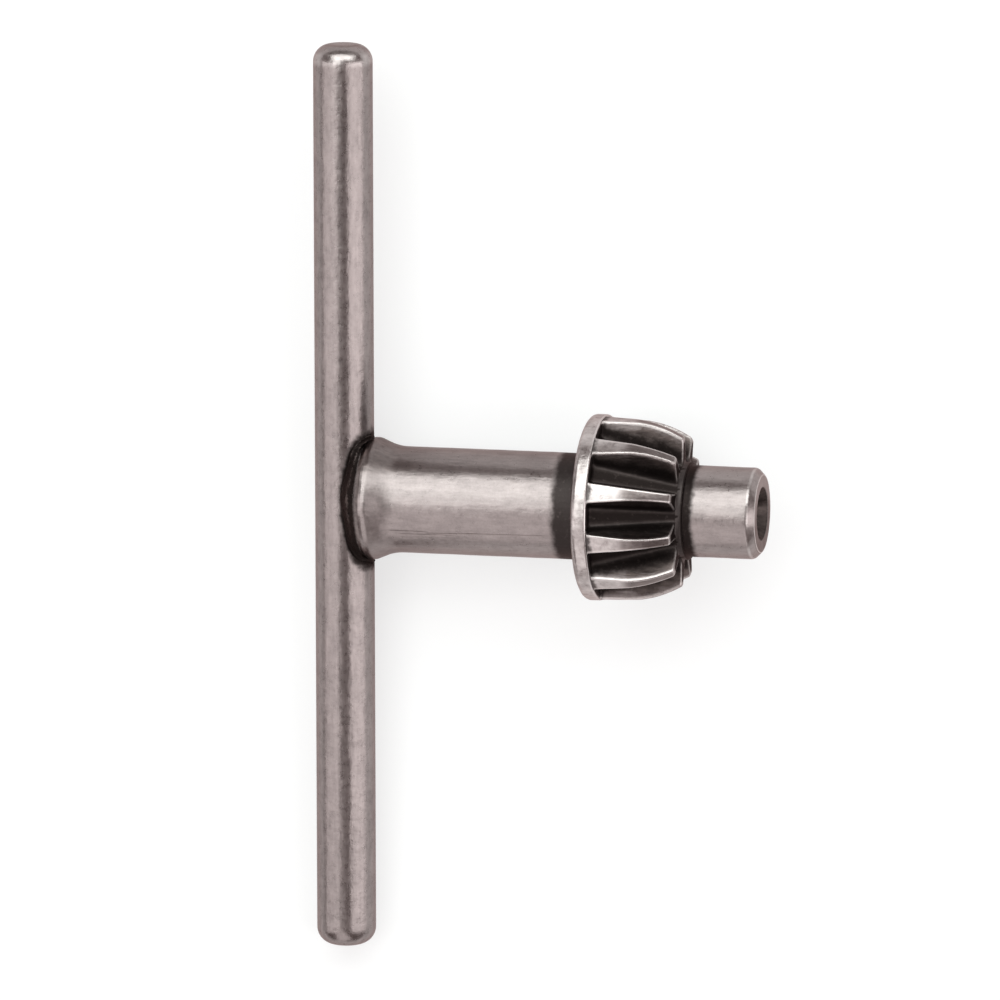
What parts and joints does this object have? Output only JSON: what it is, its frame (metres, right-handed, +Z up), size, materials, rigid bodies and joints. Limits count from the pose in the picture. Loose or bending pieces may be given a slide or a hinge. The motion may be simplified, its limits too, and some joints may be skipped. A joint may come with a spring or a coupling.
{
  "type": "drill chuck key",
  "caption": "Hand key for tightening a geared drill chuck: a turned steel body with a bevelled pinion and a plain pilot, welded across a straight round handle.",
  "frame": {"origin": "middle of the key's box at its bottom, on the surface that the key lies on", "axes": "+Y along the handle, +X from the handle towards the pilot, +Z up from the surface; the body's axis rises 8 degrees towards the pilot and the handle's +Y end is 3.5 degrees up"},
  "size_m": [0.0304, 0.06, 0.0122],
  "materials": {
    "body_steel": "tumbled, with dark oxide left between the teeth and in the corners",
    "handle_steel": "drawn and tumbled, slightly mottled",
    "weld_metal": "rough as welded, blackened"
  },
  "bodies": {
    "root": {"key_body": "body_steel", "handle_bar": "handle_steel", "weld_bead": "weld_metal"}
  },
  "joints": []
}
